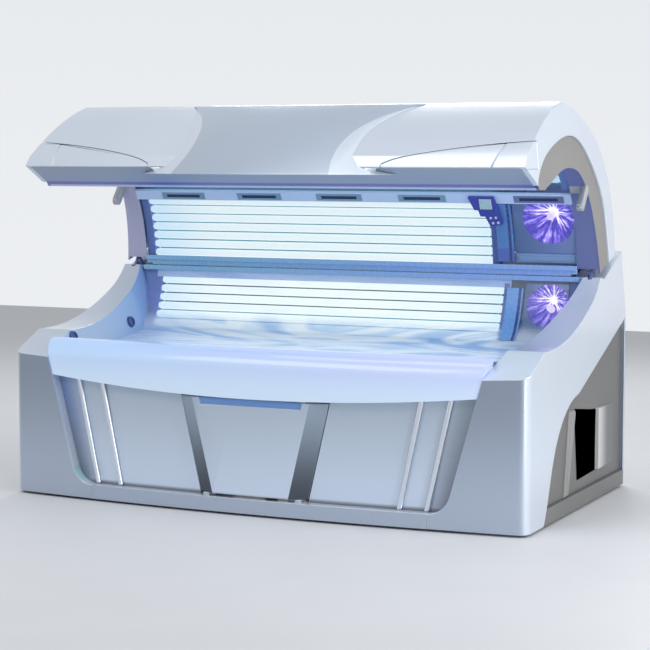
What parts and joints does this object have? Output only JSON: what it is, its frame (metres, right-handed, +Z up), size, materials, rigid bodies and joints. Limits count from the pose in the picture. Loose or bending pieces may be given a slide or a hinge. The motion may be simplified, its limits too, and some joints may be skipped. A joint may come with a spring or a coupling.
{
  "type": "clamshell tanning bed",
  "caption": "Lie-down clamshell tanning bed: curved acrylic bench of lamps, hinged canopy on gas springs, glowing bowed valance, side vents and face tanner.",
  "frame": {"origin": "on the floor, under the middle of the bed's length and depth", "axes": "+X along the bed from foot end to head end, +Y from the front to the back, +Z up"},
  "size_m": [2.4, 1.39, 1.716],
  "materials": {
    "pearl": "pearl silver white",
    "side_grey": "dark warm grey",
    "black": "black",
    "plinth_grey": "satin",
    "bright": "bright",
    "acrylic": "clear",
    "valance": "translucent pale blue",
    "lamp": "phosphor white",
    "reflector": "bright",
    "blue_trim": "blue",
    "taupe": "taupe",
    "steel": "powder coated",
    "rubber": "black",
    "control": "navy",
    "button": "pale"
  },
  "bodies": {
    "base": {"base_frame": "steel", "floor_pan": "steel", "plinth_front": "plinth_grey", "wing_left": "pearl", "wing_right": "pearl", "side_panel_left": "side_grey", "side_panel_right": "side_grey", "vent_grilles": "black", "side_skirts": "plinth_grey", "front_panel_left": "plinth_grey", "front_panel_right": "plinth_grey", "front_fins": "bright", "bench_acrylic": "acrylic", "valance": "valance", "bench_lamps": "lamp", "rear_lamps": "lamp", "base_lamp_holders": "black", "base_reflector": "reflector", "ballasts": "steel", "fan_housings": "black", "back_cover": "steel", "base_trim": "blue_trim", "shoulder_reflector": "reflector", "shoulder_lamp": "lamp", "shoulder_glass": "acrylic", "hinge_brackets": "steel", "levelling_feet": "rubber", "power_inlet": "black"},
    "canopy": {"canopy_shell": "pearl", "canopy_centre_panel": "pearl", "canopy_frame": "steel", "arch_plate_left": "taupe", "arch_plate_right": "taupe", "nose_insert_left": "pearl", "nose_insert_right": "pearl", "canopy_lip": "plinth_grey", "canopy_acrylic": "acrylic", "canopy_lamps": "lamp", "canopy_reflector": "reflector", "canopy_lamp_holders": "black", "vent_strip": "blue_trim", "control_panel": "control", "face_reflector": "reflector", "face_lamp": "lamp", "face_glass": "acrylic", "canopy_trim": "blue_trim"},
    "service_door": {"service_door": "plinth_grey"},
    "fan_rotor_left": {"fan_rotor_left": "black"},
    "fan_rotor_right": {"fan_rotor_right": "black"},
    "nozzle_front": {"nozzle_front": "pearl"},
    "nozzle_rear": {"nozzle_rear": "pearl"},
    "gas_cylinder_left": {"gas_cylinder_left": "steel"},
    "gas_cylinder_right": {"gas_cylinder_right": "steel"},
    "gas_rod_left": {"gas_rod_left": "bright"},
    "gas_rod_right": {"gas_rod_right": "bright"},
    "panel_button_1": {"panel_button_1": "button"},
    "panel_button_2": {"panel_button_2": "button"},
    "panel_button_3": {"panel_button_3": "button"},
    "panel_button_4": {"panel_button_4": "button"}
  },
  "joints": [
    {"name": "canopy_hinge", "type": "hinge", "parent": "base", "child": "canopy", "pos_m": [0, 0.345, 0.985], "axis": [1, 0, 0], "range_deg": [0, 34]},
    {"name": "gas_cylinder_right_pivot", "type": "hinge", "parent": "base", "child": "gas_cylinder_right", "pos_m": [1.169, 0.532, 0.897], "axis": [1, 0, 0], "range_deg": [-1, 15]},
    {"name": "gas_rod_right_slide", "type": "slide", "parent": "gas_cylinder_right", "child": "gas_rod_right", "axis": [0, -0.9831, -0.1833], "range_m": [-0.085, 0.001]},
    {"name": "gas_cylinder_left_pivot", "type": "hinge", "parent": "base", "child": "gas_cylinder_left", "pos_m": [-1.169, 0.532, 0.897], "axis": [1, 0, 0], "range_deg": [-1, 15]},
    {"name": "gas_rod_left_slide", "type": "slide", "parent": "gas_cylinder_left", "child": "gas_rod_left", "axis": [0, -0.9831, -0.1833], "range_m": [-0.085, 0.001]},
    {"name": "service_door_hinge", "type": "hinge", "parent": "base", "child": "service_door", "pos_m": [0, -0.659, 0.077], "axis": [1, 0, 0], "range_deg": [0, 25]},
    {"name": "fan_rotor_right_spin", "type": "hinge", "parent": "base", "child": "fan_rotor_right", "pos_m": [1.13, 0.17, 0.27], "axis": [1, 0, 0], "continuous": true},
    {"name": "fan_rotor_left_spin", "type": "hinge", "parent": "base", "child": "fan_rotor_left", "pos_m": [-1.13, 0.17, 0.27], "axis": [1, 0, 0], "continuous": true},
    {"name": "nozzle_front_turn", "type": "hinge", "parent": "base", "child": "nozzle_front", "pos_m": [-1.03104, -0.418, 0.685], "axis": [0.9605, 0, 0.2784], "range_deg": [-60, 60]},
    {"name": "nozzle_rear_turn", "type": "hinge", "parent": "base", "child": "nozzle_rear", "pos_m": [-1.03887, 0.09, 0.712], "axis": [0.9605, 0, 0.2784], "range_deg": [-60, 60]},
    {"name": "panel_button_1_press", "type": "slide", "parent": "canopy", "child": "panel_button_1", "axis": [0, 0.9177, 0.3972], "range_m": [0, 0.0015], "stiffness_N_per_m": 400},
    {"name": "panel_button_2_press", "type": "slide", "parent": "canopy", "child": "panel_button_2", "axis": [0, 0.9177, 0.3972], "range_m": [0, 0.0015], "stiffness_N_per_m": 400},
    {"name": "panel_button_3_press", "type": "slide", "parent": "canopy", "child": "panel_button_3", "axis": [0, 0.9177, 0.3972], "range_m": [0, 0.0015], "stiffness_N_per_m": 400},
    {"name": "panel_button_4_press", "type": "slide", "parent": "canopy", "child": "panel_button_4", "axis": [0, 0.9177, 0.3972], "range_m": [0, 0.0015], "stiffness_N_per_m": 400}
  ],
  "couplings": [
    {"joint": "gas_cylinder_right_pivot", "follows": "canopy_hinge", "ratio": 0.403},
    {"joint": "gas_rod_right_slide", "follows": "canopy_hinge", "m_per_rad": -0.136},
    {"joint": "gas_cylinder_left_pivot", "follows": "canopy_hinge", "ratio": 0.403},
    {"joint": "gas_rod_left_slide", "follows": "canopy_hinge", "m_per_rad": -0.136}
  ]
}
